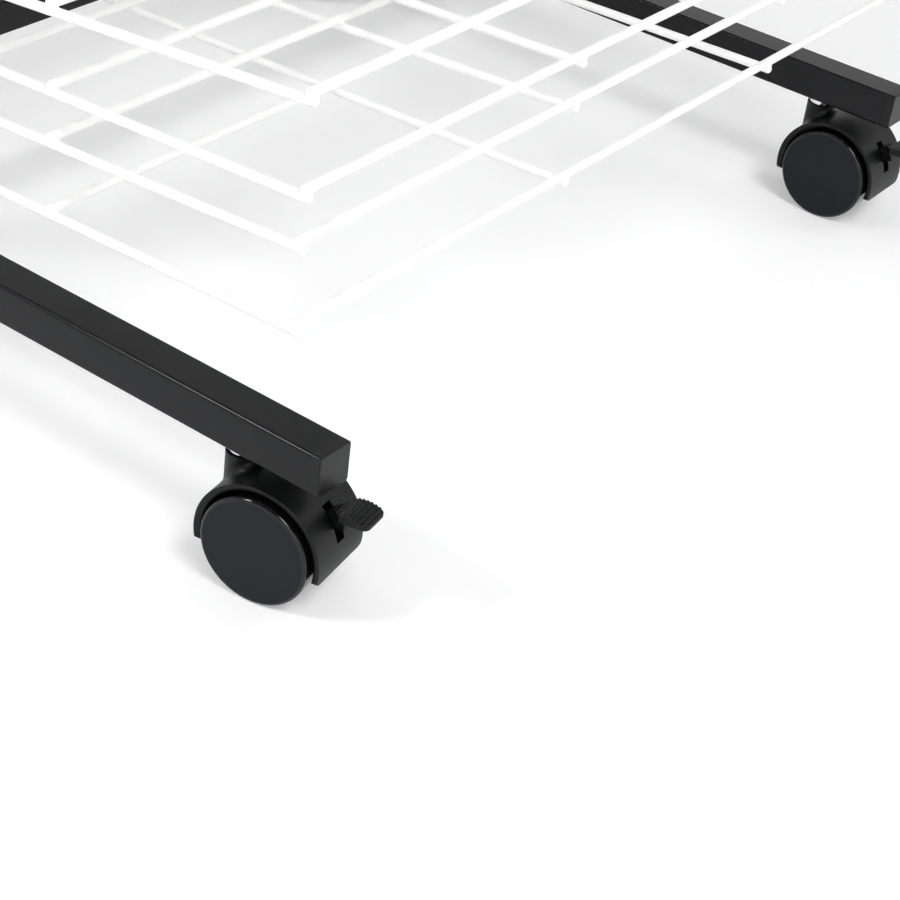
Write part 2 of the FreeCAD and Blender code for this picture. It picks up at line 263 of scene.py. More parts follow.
black_powder_coat = make_black_powder_coat()
upright_low, upright_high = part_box("right_upright")
crossbar_low, crossbar_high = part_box("rear_crossbar")
topbar_low, topbar_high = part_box("top_bar")
upright_y = (upright_low.y + upright_high.y) / 2
bar_zs = [(crossbar_low.z + crossbar_high.z) / 2, (topbar_low.z + topbar_high.z) / 2]
tube_width = upright_high.y - upright_low.y
stems = [Vector(joints[name]["pos_m"]) for name in joints if name.endswith("swivel_joint")]
hinges = [Vector(joints[name]["pos_m"]) for name in sorted(joints) if "shelf_hinge" in name]

for side, word in ((left, "left"), (right, "right")):
    leg = make_tube(word + "_leg", "y")
    low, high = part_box(word + "_leg")
    middle = (low + high) / 2
    for stem in stems:
        if stem.x * side > 0:
            carve(leg, add_rod("drill", (stem.x, stem.y, low.z - cutter_start),
                               (stem.x, stem.y, low.z + 2 * tube_wall), stem_hole_r))
    carve(leg, add_rod("drill", (low.x - cutter_start, upright_y, middle.z),
                       (high.x + cutter_start, upright_y, middle.z), screw_hole_r))
    finish_piece(smooth(leg), "frame", black_powder_coat, "black_powder_coat", word + "_leg")

    upright = make_tube(word + "_upright", "z")
    low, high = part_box(word + "_upright")
    outer_x = side * max(abs(low.x), abs(high.x))
    for hinge in hinges:
        start = (outer_x + side * cutter_start, hinge.y, hinge.z)
        end = (outer_x - side * 2 * tube_wall, hinge.y, hinge.z)
        carve(upright, add_rod("drill", start, end, pin_hole_r, 24))
    carve(upright, add_rod("drill", (low.x - cutter_start, upright_y, bar_zs[1]),
                           (high.x + cutter_start, upright_y, bar_zs[1]), screw_hole_r))
    finish_piece(smooth(upright), "frame", black_powder_coat, "black_powder_coat",
                 word + "_upright")

for node in ("rear_crossbar", "top_bar"):
    finish_piece(smooth(make_tube(node, "x")), "frame", black_powder_coat,
                 "black_powder_coat", node)

# ---- Tube plugs --------------------------------------------------------------------------
# Polyethylene plugs pressed into the open tube ends. The head has the tube's own section and a
# softly moulded end, so that only a hairline shows where it meets the tube.

plug_head = 0.005
plug_end_round = 0.0007
plug_seam_round = 0.00005


def make_plug_plastic():
    """Injection-moulded polyethylene: near black, with the mould's fine spark grain."""
    material, shader, place = new_material("moulded_polyethylene")
    grain_size = 0.0004
    grain = add_node(material, "ShaderNodeTexNoise",
                     {"Vector": place, "Scale": 1 / grain_size, "Detail": 2.0})
    bump = add_node(material, "ShaderNodeBump",
                    {"Height": grain.outputs["Fac"], "Strength": 0.3, "Distance": 0.00004})
    shader.inputs["Base Color"].default_value = srgb("0c0d0f")
    shader.inputs["Roughness"].default_value = 0.3
    shader.inputs["IOR"].default_value = 1.51
    shader.inputs["Specular IOR Level"].default_value = 0.25
    link(material, bump.outputs["Normal"], shader, "Normal")
    return material


def make_plug(low, high, axis, outward):
    """Head of a plug on a tube along that axis; outward is -1 or 1 along it."""
    plug = add_block("plug", low, high)
    outer_end = (high if outward > 0 else low)[axis]
    inner_end = (low if outward > 0 else high)[axis]
    bevel_edges(plug, lambda middle, direction: abs(direction[axis]) > 0.9, tube_corner, 5)
    bevel_edges(plug, lambda middle, direction: abs(middle[axis] - outer_end) < near,
                plug_end_round, 4)
    bevel_edges(plug, lambda middle, direction: abs(middle[axis] - inner_end) < near,
                plug_seam_round, 1)
    return smooth(plug)


def join_pieces(pieces, name):
    """Join the pieces into the first one and give it a new name."""
    bpy.ops.object.select_all(action="DESELECT")
    for piece in pieces:
        piece.select_set(True)
    bpy.context.view_layer.objects.active = pieces[0]
    bpy.ops.object.join()
    pieces[0].name = name
    return pieces[0]


plug_plastic = make_plug_plastic()
plugs = []
for word in ("left", "right"):
    low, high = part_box(word + "_leg")
    plugs.append(make_plug(Vector((low.x, low.y - plug_head, low.z)),
                           Vector((high.x, low.y, high.z)), 1, -1))
    plugs.append(make_plug(Vector((low.x, high.y, low.z)),
                           Vector((high.x, high.y + plug_head, high.z)), 1, 1))
    low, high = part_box(word + "_upright")
    plugs.append(make_plug(Vector((low.x, low.y, high.z)),
                           Vector((high.x, high.y, high.z + plug_head)), 2, 1))
finish_piece(join_pieces(plugs, "tube_end_plugs"), "frame", plug_plastic, "grey_plug_plastic",
             "tube_plugs")

# ---- Frame screws ------------------------------------------------------------------------
# M6 cheese-head cap screws, black oxide, with a hexagon socket. They go through the tubes
# into threaded blocks in the ends of the two crossbars.

screw_head_r = 0.00525
screw_head_h = 0.0032
screw_head_round = 0.0005
screw_shank_r = 0.003
shank_overlap = 0.0001
screw_grip = 0.009
socket_r = 0.0023
socket_depth = 0.002


def make_black_oxide():
    """Blackened steel: dark metal with a brownish tinge, dull where the thread oil dried."""
    material, shader, place = new_material("black_oxide_steel")
    patch_size = 0.002
    patches = add_node(material, "ShaderNodeTexNoise",
                       {"Vector": place, "Scale": 1 / patch_size, "Detail": 4.0})
    gloss = add_node(material, "ShaderNodeMapRange",
                     {"Value": patches.outputs["Fac"], "To Min": 0.30, "To Max": 0.5})
    shader.inputs["Base Color"].default_value = srgb("2b2a29")
    shader.inputs["Metallic"].default_value = 1.0
    link(material, gloss.outputs["Result"], shader, "Roughness")
    return material


def make_zinc_plate():
    """Bright zinc on steel: pale grey metal with soft cloudy patches from the bath."""
    material, shader, place = new_material("zinc_plated_steel")
    cloud_size = 0.004
    clouds = add_node(material, "ShaderNodeTexNoise",
                      {"Vector": place, "Scale": 1 / cloud_size, "Detail": 3.0})
    gloss = add_node(material, "ShaderNodeMapRange",
                     {"Value": clouds.outputs["Fac"], "To Min": 0.22, "To Max": 0.42})
    shader.inputs["Base Color"].default_value = srgb("c3c6ca")
    shader.inputs["Metallic"].default_value = 1.0
    link(material, gloss.outputs["Result"], shader, "Roughness")
    return material


def make_cap_screw(name, side, z):
    """Screw whose head bears on the outer face of the frame."""
    face_x = side * max(abs(upright_low.x), abs(upright_high.x))
    inward = Vector((-side, 0, 0))
    seat = Vector((face_x, upright_y, z))
    top = seat - inward * screw_head_h
    head = add_rod(name, seat, top, screw_head_r)
    bevel_edges(head, lambda middle, direction: abs(direction.x) < 0.5
                and abs(middle.x - top.x) < near, screw_head_round, 3)
    shank = add_rod("shank", seat - inward * shank_overlap,
                    seat + inward * (tube_width + screw_grip), screw_shank_r)
    carve(head, shank, operation="UNION")
    carve(head, add_rod("socket", top - inward * cutter_start, top + inward * socket_depth,
                        socket_r, 6))
    return smooth(head)


black_oxide = make_black_oxide()
zinc_plate = make_zinc_plate()
screws = [make_cap_screw("screw", side, z) for side in (left, right) for z in bar_zs]
finish_piece(join_pieces(screws, "frame_cap_screws"), "frame", black_oxide, "black_steel",
             "frame_screws")
for node in ("threaded_blocks", "stem_nuts", "spring_studs"):
    coat(nodes[node], zinc_plate)

# ---- Shelves -----------------------------------------------------------------------------
# Each shelf is a grid of drawn wire, 4 mm thick with its coat, resistance welded where the
# wires cross. Its side wires end in the pins on which it turns, and a thinner fence wire
# behind the uprights holds it at rest.

shelf_overhang = 0.009
shelf_depth = 0.390
shelf_tilts = [1.8, 3.3, 2.8, 4.7] + 12 * [7.2]
wire_r = 0.0020
wire_across = 0.0034
fence_r = 0.0016
fence_height = 0.00296
end_round = 0.0013
pin_bend = 0.006
pin_depth = 0.0075
fence_reach = 0.004
wire_overhang = 0.0022
inner_tail = 0.004
fence_gap = 0.00595
cell_depth = 0.1247
cross_overhang = 0.0008
rear_wire_gap = 0.0315
weld_r = 0.0023
weld_h = 0.0013


def make_white_powder_coat():
    """Epoxy-polyester powder, baked glossy white, slightly wavy over the drawn wire."""
    material, shader, place = new_material("white_powder_coat")
    wave_size = 0.0016
    wave = add_node(material, "ShaderNodeTexNoise",
                    {"Vector": place, "Scale": 1 / wave_size, "Detail": 1.0})
    bump = add_node(material, "ShaderNodeBump",
                    {"Height": wave.outputs["Fac"], "Strength": 0.3, "Distance": 0.00008})
    shader.inputs["Base Color"].default_value = srgb("fcfcfb")
    shader.inputs["Roughness"].default_value = 0.32
    shader.inputs["IOR"].default_value = 1.52
    link(material, bump.outputs["Normal"], shader, "Normal")
    return material


def round_ends(wire, axis):
    """Round off both ends of a wire that runs along that axis."""
    ends = sorted(vertex.co[axis] for vertex in wire.data.vertices)
    bevel_edges(wire, lambda middle, direction: abs(direction[axis]) < 0.1
                and (middle[axis] < ends[0] + near or middle[axis] > ends[-1] - near),
                end_round, 3)
    return wire


def make_straight_wire(start, end, radius=wire_r):
    """Wire along the X or the Y axis with both ends rounded off."""
    axis = 0 if abs(end[0] - start[0]) > abs(end[1] - start[1]) else 1
    return round_ends(add_rod("wire", start, end, radius, 16), axis)


def make_side_wire(side, width, depth, pin_x):
    """Wire at the shelf's edge, bent inward at the hinge line to a pin that ends at pin_x."""
    x = side * width / 2
    wire = add_rod("wire", (x, -depth - wire_overhang, 0), (x, -pin_bend, 0), wire_r, 16)
    start_edit(wire, "FACE")
    pick_faces(wire, lambda centre, normal: normal.y > 0.9)
    bpy.ops.mesh.spin(steps=7, angle=side * math.pi / 2, dupli=False,
                      center=(x - side * pin_bend, -pin_bend, 0), axis=(0, 0, 1))
    bpy.ops.mesh.extrude_region_move(
        TRANSFORM_OT_translate={"value": (pin_x - (x - side * pin_bend), 0, 0)})
    end_edit()
    bevel_edges(wire, lambda middle, direction: abs(direction.y) < 0.1
                and abs(middle.y + depth + wire_overhang) < near, end_round, 3)
    return wire


def make_weld(x, y):
    """Bead of a resistance weld between a long wire and the cross wire on top of it."""
    bpy.ops.object.select_all(action="DESELECT")
    bpy.ops.mesh.primitive_ico_sphere_add(subdivisions=2, radius=weld_r,
                                          location=(x, y, wire_across / 2))
    weld = bpy.context.object
    weld.scale = (1, 1, weld_h / weld_r)
    return settle(weld)


def make_shelf(width, depth, frame_half, pin_x):
    """Shelf lying level with its hinge line on the X axis."""
    wires = [make_side_wire(side, width, depth, side * pin_x) for side in (left, right)]
    tail_y = fence_gap + inner_tail
    for side in (left, right):
        x = side * width / 6
        wires.append(make_straight_wire((x, -depth - wire_overhang, 0), (x, tail_y, 0)))
    half = width / 2 + wire_r + cross_overhang
    rows = [-depth, cell_depth - depth, 2 * cell_depth - depth, -rear_wire_gap]
    for y in rows:
        wires.append(make_straight_wire((-half, y, wire_across), (half, y, wire_across)))
    half = frame_half + fence_reach
    wires.append(make_straight_wire((-half, fence_gap, fence_height),
                                    (half, fence_gap, fence_height), fence_r))
    long_xs = [-width / 2, -width / 6, width / 6, width / 2]
    wires.extend(make_weld(x, y) for x in long_xs for y in rows)
    wires.extend(make_weld(x, fence_gap) for x in long_xs[1:3])
    return join_pieces(wires, "level_shelf")


def copy_piece(piece, name, move):
    """Copy with its own mesh, which the matrix moves to its place."""
    copy = piece.copy()
    copy.data = piece.data.copy()
    copy.name = name
    bpy.context.scene.collection.objects.link(copy)
    copy.data.transform(move)
    return copy


white_powder_coat = make_white_powder_coat()
frame_half = max(abs(upright_low.x), abs(upright_high.x))
shelf_width = 2 * (frame_half + shelf_overhang)
level_shelf = smooth(make_shelf(shelf_width, shelf_depth, frame_half, frame_half - pin_depth))
for number, (hinge, tilt) in enumerate(zip(hinges, shelf_tilts), 1):
    label = "%02d" % number
    place = Matrix.Translation(hinge) @ Matrix.Rotation(-math.radians(tilt), 4, "X")
    shelf = copy_piece(level_shelf, "wire_shelf_" + label, place)
    finish_piece(shelf, "shelf_body_" + label, white_powder_coat, "white_powder_coat",
                 "shelf_" + label)
bpy.data.objects.remove(level_shelf)

# ---- Caster hoods ------------------------------------------------------------------------
# One nylon moulding covers both wheels: a mudguard over each, a web between them that holds
# the axle, a collar round the stem and a slot at the front for the brake's lever.

wheel_r = 0.025
wheel_width = 0.014
web_width = 0.012
hood_width = 0.036
well_r = 0.0265
hood_r = 0.0295
hood_front_end = -12  # degrees about the axle, as at_angle counts them
hood_rear_end = 195
hood_corner = 0.003
hood_side_round = 0.0006
lip_bevel = 0.0021
lip_bevel_depth = 0.0011
hood_top = 0.0565
collar_r = 0.0075
collar_fillet = 0.003
stem_r = 0.004
stem_depth = 0.0195
bore_clearance = 0.00005
slot_width = 0.0056
slot_low = 13
slot_high = 47
ring_room = 0.009
hood_round = 0.0005
trail = 0.0186
axle = Vector((0, -trail, wheel_r))


def make_hood_nylon():
    """Glass-filled nylon with a spark-eroded mould grain: deep black, matt, soft highlights."""
    material, shader, place = new_material("grained_nylon")
    grain_size, flow_size = 0.00045, 0.012
    grain = add_node(material, "ShaderNodeTexNoise",
                     {"Vector": place, "Scale": 1 / grain_size, "Detail": 2.0})
    flow = add_node(material, "ShaderNodeTexNoise",
                    {"Vector": place, "Scale": 1 / flow_size, "Detail": 2.0})
    gloss = add_node(material, "ShaderNodeMapRange",
                     {"Value": flow.outputs["Fac"], "To Min": 0.38, "To Max": 0.46})
    bump = add_node(material, "ShaderNodeBump",
                    {"Height": grain.outputs["Fac"], "Strength": 0.3, "Distance": 0.00005})
    shader.inputs["Base Color"].default_value = srgb("040506")
    shader.inputs["IOR"].default_value = 1.48
    shader.inputs["Specular IOR Level"].default_value = 0.27
    link(material, gloss.outputs["Result"], shader, "Roughness")
    link(material, bump.outputs["Normal"], shader, "Normal")
    return material


def at_angle(radius, degrees):
    """Point about the axle; 0 degrees is straight ahead and 90 is up."""
    angle = math.radians(degrees)
    return axle + Vector((0, -radius * math.cos(angle), radius * math.sin(angle)))


def add_disc(name, radius, width, sides=96):
    """Disc about the axle, centred on the caster's middle plane."""
    half = Vector((width / 2, 0, 0))
    return add_rod(name, axle - half, axle + half, radius, sides)


def cut_plane(piece, point, normal):
    """Cut the piece at a plane, drop what lies beyond it and close the cut."""
    start_edit(piece, "FACE")
    bpy.ops.mesh.select_all(action="SELECT")
    bpy.ops.mesh.bisect(plane_co=point, plane_no=normal, use_fill=True, clear_outer=True)
    end_edit()
    return piece


def add_sector(name, radius, width, low_angle, high_angle):
    """Wedge of a disc about the axle between two angles."""
    wedge = add_disc(name, radius, width)
    low, high = math.radians(low_angle), math.radians(high_angle)
    cut_plane(wedge, axle, (0, -math.sin(low), -math.cos(low)))
    return cut_plane(wedge, axle, (0, math.sin(high), math.cos(high)))


def fillet_point(turn, share):
    """Point of the hollow between collar and drum: share 0 is on the drum, 1 on the collar.

    The hollow is the path of a ball of the fillet's radius that touches both."""
    outward = Vector((math.cos(turn), math.sin(turn), 0))
    centre = outward * (collar_r + collar_fillet)
    centre.z = wheel_r + math.sqrt((hood_r + collar_fillet) ** 2 - (centre.y + trail) ** 2)
    to_drum = Vector((0, axle.y - centre.y, axle.z - centre.z)).normalized()
    return centre + to_drum.slerp(-outward, share) * collar_fillet


def make_collar():
    """Collar whose foot runs into the drum in a hollow; the lowest ring lies inside the drum."""
    steps = 8
    height = steps + 2
    collar = add_rod("collar", (0, 0, 0), (0, 0, height), collar_r, 64)
    start_edit(collar, "EDGE")
    pick_edges(collar, lambda middle, direction: abs(direction.z) > 0.9)
    bpy.ops.mesh.subdivide(number_cuts=height - 1)
    end_edit()
    for vertex in collar.data.vertices:
        ring = round(vertex.co.z)
        turn = math.atan2(vertex.co.y, vertex.co.x)
        if ring == height:
            vertex.co.z = hood_top
        else:
            vertex.co = fillet_point(turn, max(ring - 1, 0) / steps)
        if ring == 0:
            vertex.co += (axle - vertex.co) * Vector((0, 0.05, 0.05))
    return collar


def add_lip_cone(side):
    """Flat cone that bevels the mouth of a wheel well towards the wheel."""
    mouth_r = well_r + lip_bevel
    bpy.ops.object.select_all(action="DESELECT")
    bpy.ops.mesh.primitive_cone_add(vertices=128, radius1=mouth_r - 2 * lip_bevel,
                                    radius2=mouth_r + 2 * lip_bevel,
                                    depth=4 * lip_bevel_depth,
                                    rotation=(0, side * math.pi / 2, 0),
                                    location=axle + Vector((side * hood_width / 2, 0, 0)))
    return settle(bpy.context.object)


def make_upper_room():
    """Block above the plane through the hood's two lips, with its lower corners rounded."""
    front, rear = at_angle(hood_r, hood_front_end), at_angle(hood_r, hood_rear_end)
    half = hood_width / 2 + 0.00002
    room = add_block("upper_room", (-half, -0.05, 0), (half, 0.05, 0.06))
    bevel_edges(room, lambda middle, direction: abs(direction.y) > 0.9 and middle.z < near,
                hood_corner, 6)
    slope = math.atan2(rear.z - front.z, rear.y - front.y)
    room.data.transform(Matrix.Translation((front + rear) / 2) @ Matrix.Rotation(slope, 4, "X"))
    return room


def soften(piece, radius, angle):
    """Round off all edges that turn by more than that angle in degrees."""
    apply_modifier(piece, "BEVEL", width=radius, segments=2, limit_method="ANGLE",
                   angle_limit=math.radians(angle))


def make_hood():
    """Drum with its collar, opened for the wheels, the lever and the stem."""
    hood = add_disc("hood", hood_r, hood_width, 128)
    bevel_edges(hood, lambda middle, direction: abs(direction.x) < 0.1, hood_side_round, 5)
    carve(hood, make_collar(), operation="UNION")
    for side in (left, right):
        start = axle + Vector((side * web_width / 2, 0, 0))
        end = axle + Vector((side * hood_width, 0, 0))
        carve(hood, add_rod("well", start, end, well_r, 128), add_lip_cone(side))
    carve(hood, make_upper_room(), operation="INTERSECT")
    carve(hood, add_disc("ring_room", ring_room, slot_width),
          add_sector("slot", hood_r + cutter_start, slot_width, slot_low, slot_high),
          add_rod("stem_hole", (0, 0, hood_top - stem_depth), (0, 0, hood_top + cutter_start),
                  stem_r + bore_clearance, 48))
    merge_doubles(hood, near)
    soften(hood, hood_round, 40)
    return smooth(hood, 50)


hood_nylon = make_hood_nylon()
hood_master = make_hood()

# ---- Wheels ------------------------------------------------------------------------------
# Hard nylon wheels, smooth on the tread and on the rounded rim, with a flat satin face on the
# outside and a blind bore towards the web.

wheel_gap = 0.0004
rim_round = 0.0016
inner_round = 0.0006
bore_depth = 0.0105
axle_r = 0.0025


def make_wheel_nylon(name, roughness, shine, colour):
    """Moulded nylon: the polished tool leaves the rim glossy, the etched tool the face satin."""
    material, shader, place = new_material(name)
    grain_size = 0.0005
    grain = add_node(material, "ShaderNodeTexNoise",
                     {"Vector": place, "Scale": 1 / grain_size, "Detail": 2.0})
    bump = add_node(material, "ShaderNodeBump",
                    {"Height": grain.outputs["Fac"], "Strength": roughness / 2,
                     "Distance": 0.00004})
    shader.inputs["Base Color"].default_value = srgb(colour)
    shader.inputs["Roughness"].default_value = roughness
    shader.inputs["IOR"].default_value = 1.53
    shader.inputs["Specular IOR Level"].default_value = shine
    link(material, bump.outputs["Normal"], shader, "Normal")
    return material


def make_wheel(side):
    """Wheel on that side of the web, with a polished rim and an etched outer face."""
    inner = Vector((side * (web_width / 2 + wheel_gap), 0, 0))
    outer = inner + Vector((side * wheel_width, 0, 0))
    wheel = add_rod("wheel", axle + inner, axle + outer, wheel_r, 96)
    for end, offset, segments in ((outer, rim_round, 5), (inner, inner_round, 2)):
        bevel_edges(wheel, lambda middle, direction: abs(direction.x) < 0.1
                    and abs(middle.x - end.x) < near, offset, segments)
    start_edit(wheel, "FACE")
    pick_faces(wheel, lambda centre, normal: normal.x * side > 0.99
               and abs(centre.x - outer.x) < near)
    wheel.data.materials.append(rim_nylon)
    wheel.data.materials.append(face_nylon)
    wheel.active_material_index = 1
    bpy.ops.object.material_slot_assign()
    end_edit()
    start = axle + 0.9 * inner
    carve(wheel, add_rod("bore", start, start + Vector((side * bore_depth, 0, 0)),
                         axle_r + bore_clearance, 32))
    return smooth(wheel, 30)


rim_nylon = make_wheel_nylon("polished_nylon", 0.10, 0.38, "08080a")
face_nylon = make_wheel_nylon("etched_nylon", 0.3, 0.20, "0e1016")
wheel_masters = {"left": make_wheel(left), "right": make_wheel(right)}

# ---- Brake levers ------------------------------------------------------------------------
# Nylon lever that turns on the axle inside the web: a ring, an arm through the hood's slot
# and a foot pedal with nine ridges across it.

lever_plate = 0.0048
lever_ring_r = 0.0085
lever_round = 0.0002
lever_low = 25.5  # degrees about the axle, like slot_low and slot_high
lever_high = 41
pedal_width = 0.015
pedal_neck = 0.007
pedal_root = 0.0264
pedal_tip = 0.0435
pedal_rise = 0.0228
pedal_edge = 0.0011
pedal_thickness = 0.0024
pedal_crown = 0.0022
pedal_ridges = 9
ridge_height = 0.0005
pedal_corner = 0.0028
arm_overlap = 0.0003


def make_pedal():
    """Pedal with a crowned, ridged top, a narrow neck and round corners at its tip."""
    length = pedal_tip - pedal_root
    root_z = axle.z + pedal_rise - pedal_thickness / 4
    low = Vector((-pedal_width / 2, axle.y - pedal_tip, root_z - pedal_thickness / 2))
    high = Vector((pedal_width / 2, axle.y - pedal_root, root_z))
    pedal = add_block("pedal", low, high)
    start_edit(pedal, "EDGE")
    pick_edges(pedal, lambda middle, direction: abs(direction.y) > 0.9)
    bpy.ops.mesh.subdivide(number_cuts=4 * pedal_ridges - 1)
    end_edit()
    rise = pedal_rise - (root_z - axle.z)
    for vertex in pedal.data.vertices:
        share = (high.y - vertex.co.y) / length
        step = round(share * 4 * pedal_ridges)
        if vertex.co.z > root_z - near:
            ridge = ridge_height if step % 4 in (2, 3) else 0
            vertex.co.z += rise * share + pedal_crown * math.sin(math.pi * share) + ridge
        else:
            vertex.co.z += (pedal_thickness / 2 - pedal_edge + rise) * share ** 2
    outline = add_block("outline", low - Vector((0, 0, 0.01)), high + Vector((0, 0, 0.01)))
    bevel_edges(outline, lambda middle, direction: abs(direction.z) > 0.9
                and middle.y < low.y + near, pedal_corner, 6)
    bevel_edges(outline, lambda middle, direction: abs(direction.z) > 0.9
                and middle.y > high.y - near, (pedal_width - pedal_neck) / 2, 1)
    return carve(pedal, outline, operation="INTERSECT")


def make_lever():
    """Ring on the axle, with the arm and the pedal grown onto it."""
    lever = add_disc("lever", lever_ring_r, lever_plate, 64)
    reach = math.hypot(pedal_root, pedal_rise) - arm_overlap
    carve(lever, add_sector("arm", reach, lever_plate, lever_low, lever_high),
          make_pedal(), operation="UNION")
    carve(lever, add_disc("bore", axle_r + bore_clearance, 2 * lever_plate, 32))
    soften(lever, lever_round, 35)
    return smooth(lever, 40)


lever_master = make_lever()

# ---- Stems -------------------------------------------------------------------------------
# Turned steel stem, chromed: a flange bears on the leg's underside, the lower end carries the
# hood and the upper end is threaded for the nut inside the leg.

stem_flange_r = 0.0065
stem_flange_h = 0.003
stem_end_gap = 0.0005
stem_round = 0.0003


def make_chrome():
    """Bright nickel-chrome plate: near mirror, with the faint rings of the turning."""
    material, shader, place = new_material("chrome_plate")
    ring_size = 0.004
    rings = add_node(material, "ShaderNodeTexWave",
                     {"Vector": place, "Scale": 1 / ring_size, "Distortion": 0.3},
                     bands_direction="Z")
    bump = add_node(material, "ShaderNodeBump",
                    {"Height": rings.outputs["Fac"], "Strength": 0.08, "Distance": 0.00005})
    shader.inputs["Base Color"].default_value = srgb("e4e6e8")
    shader.inputs["Metallic"].default_value = 1.0
    shader.inputs["Roughness"].default_value = 0.09
    link(material, bump.outputs["Normal"], shader, "Normal")
    return material


def make_stem(leg_bottom, nut_top):
    """Stem from the bottom of the hood's bore to the top of its nut."""
    bottom = hood_top - stem_depth + stem_end_gap
    stem = add_rod("stem", (0, 0, bottom), (0, 0, nut_top), stem_r)
    flange = add_rod("flange", (0, 0, leg_bottom - stem_flange_h), (0, 0, leg_bottom),
                     stem_flange_r)
    carve(stem, flange, operation="UNION")
    soften(stem, stem_round, 50)
    return smooth(stem)


chrome = make_chrome()
leg_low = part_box("left_leg")[0]
stem_master = make_stem(leg_low.z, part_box("caster_stems")[1].z)
stem_pieces = []

for corner in ("front_left", "front_right", "rear_left", "rear_right"):
    swivel = joints[corner + "_swivel_joint"]
    wheel_joint = joints[corner + "_left_wheel_joint"]
    stem_place = Vector(swivel["pos_m"])
    turn = math.atan2(wheel_joint["axis"][1], wheel_joint["axis"][0])
    place = Matrix.Translation((stem_place.x, stem_place.y, 0)) @ Matrix.Rotation(turn, 4, "Z")
    hood = copy_piece(hood_master, corner + "_hood_moulding", place)
    finish_piece(hood, corner + "_swivel", hood_nylon, "black_hood_plastic",
                 corner + "_caster_hood")
    for side, master in wheel_masters.items():
        wheel = copy_piece(master, corner + "_" + side + "_wheel_moulding", place)
        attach(wheel, corner + "_" + side + "_wheel_body")
        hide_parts(corner + "_caster_" + side + "_wheel")
    lever = copy_piece(lever_master, corner + "_lever_moulding", place)
    finish_piece(lever, corner + "_brake", hood_nylon, "black_hood_plastic",
                 corner + "_brake_lever")
    coat(nodes[corner + "_caster_axle"], zinc_plate)
    stem_pieces.append(copy_piece(stem_master, "stem", place))

finish_piece(join_pieces(stem_pieces, "chromed_stems"), "frame", chrome, "chrome",
             "caster_stems")
for master in (hood_master, lever_master, stem_master, *wheel_masters.values()):
    bpy.data.objects.remove(master)

# ---- Springs -----------------------------------------------------------------------------
# One small zinc-plated extension spring per shelf, close-wound from 0.6 mm wire, between the
# shelf's fence wire and a stud on the upright.

spring_r = 0.002
spring_wire_r = 0.0003
spring_turns = 13
spring_length = 0.0115
spring_gap = 0.0002


def make_spring(name, centre, bottom, top):
    """Coil between two heights about a vertical line."""
    bpy.ops.object.select_all(action="DESELECT")
    reach = spring_r - spring_wire_r
    bpy.ops.mesh.primitive_circle_add(vertices=6, radius=spring_wire_r, fill_type="NOTHING",
                                      location=(centre.x + reach, centre.y,
                                                bottom + spring_wire_r),
                                      rotation=(math.pi / 2, 0, 0))
    spring = bpy.context.object
    spring.name = name
    settle(spring)
    pitch = (top - bottom - 2 * spring_wire_r) / spring_turns
    spring.data.transform(Matrix.Translation((-centre.x, -centre.y, 0)))
    apply_modifier(spring, "SCREW", axis="Z", angle=2 * math.pi, screw_offset=pitch,
                   iterations=spring_turns, steps=14, render_steps=14)
    spring.data.transform(Matrix.Translation((centre.x, centre.y, 0)))
    merge_doubles(spring, near / 2)
    start_edit(spring, "EDGE")
    bpy.ops.mesh.select_non_manifold()
    bpy.ops.mesh.fill_holes(sides=8)
    bpy.ops.mesh.select_all(action="SELECT")
    bpy.ops.mesh.normals_make_consistent(inside=False)
    end_edit()
    return smooth(spring, 60)


spring_low, spring_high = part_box("shelf_springs")
spring_y = (spring_low.y + spring_high.y) / 2
spring_x = (upright_low.x + upright_high.x) / 2
for number, (hinge, tilt) in enumerate(zip(hinges, shelf_tilts), 1):
    label = "%02d" % number
    side = left if number % 2 else right
    angle = math.radians(tilt)
    fence_z = hinge.z + fence_height * math.cos(angle) - fence_gap * math.sin(angle)
    top = fence_z - fence_r - spring_gap
    bottom = top - spring_length
    centre = Vector((side * spring_x, spring_y, 0))
    spring = make_spring("counter_spring_" + label, centre, bottom, top)
    coat(spring, zinc_plate)
    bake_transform(spring)
    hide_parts("shelf_springs")

# ---- Studio ------------------------------------------------------------------------------
# White floor that runs into a bright white sweep all round, a dimmer ceiling, and large soft
# lamps, as for a catalogue picture.

floor_size = 12.0
floor_lift = 0.21  # light that only the camera and reflections see
floor_fade = (0.9, 2.6)  # distances at which the floor starts and ends to turn into the sweep
sweep_light = 0.95
backdrop_tone = 0.87
ceiling_light = 0.15
sweep_top = (0.38, 0.60)  # heights on the unit sphere between which the ceiling takes over


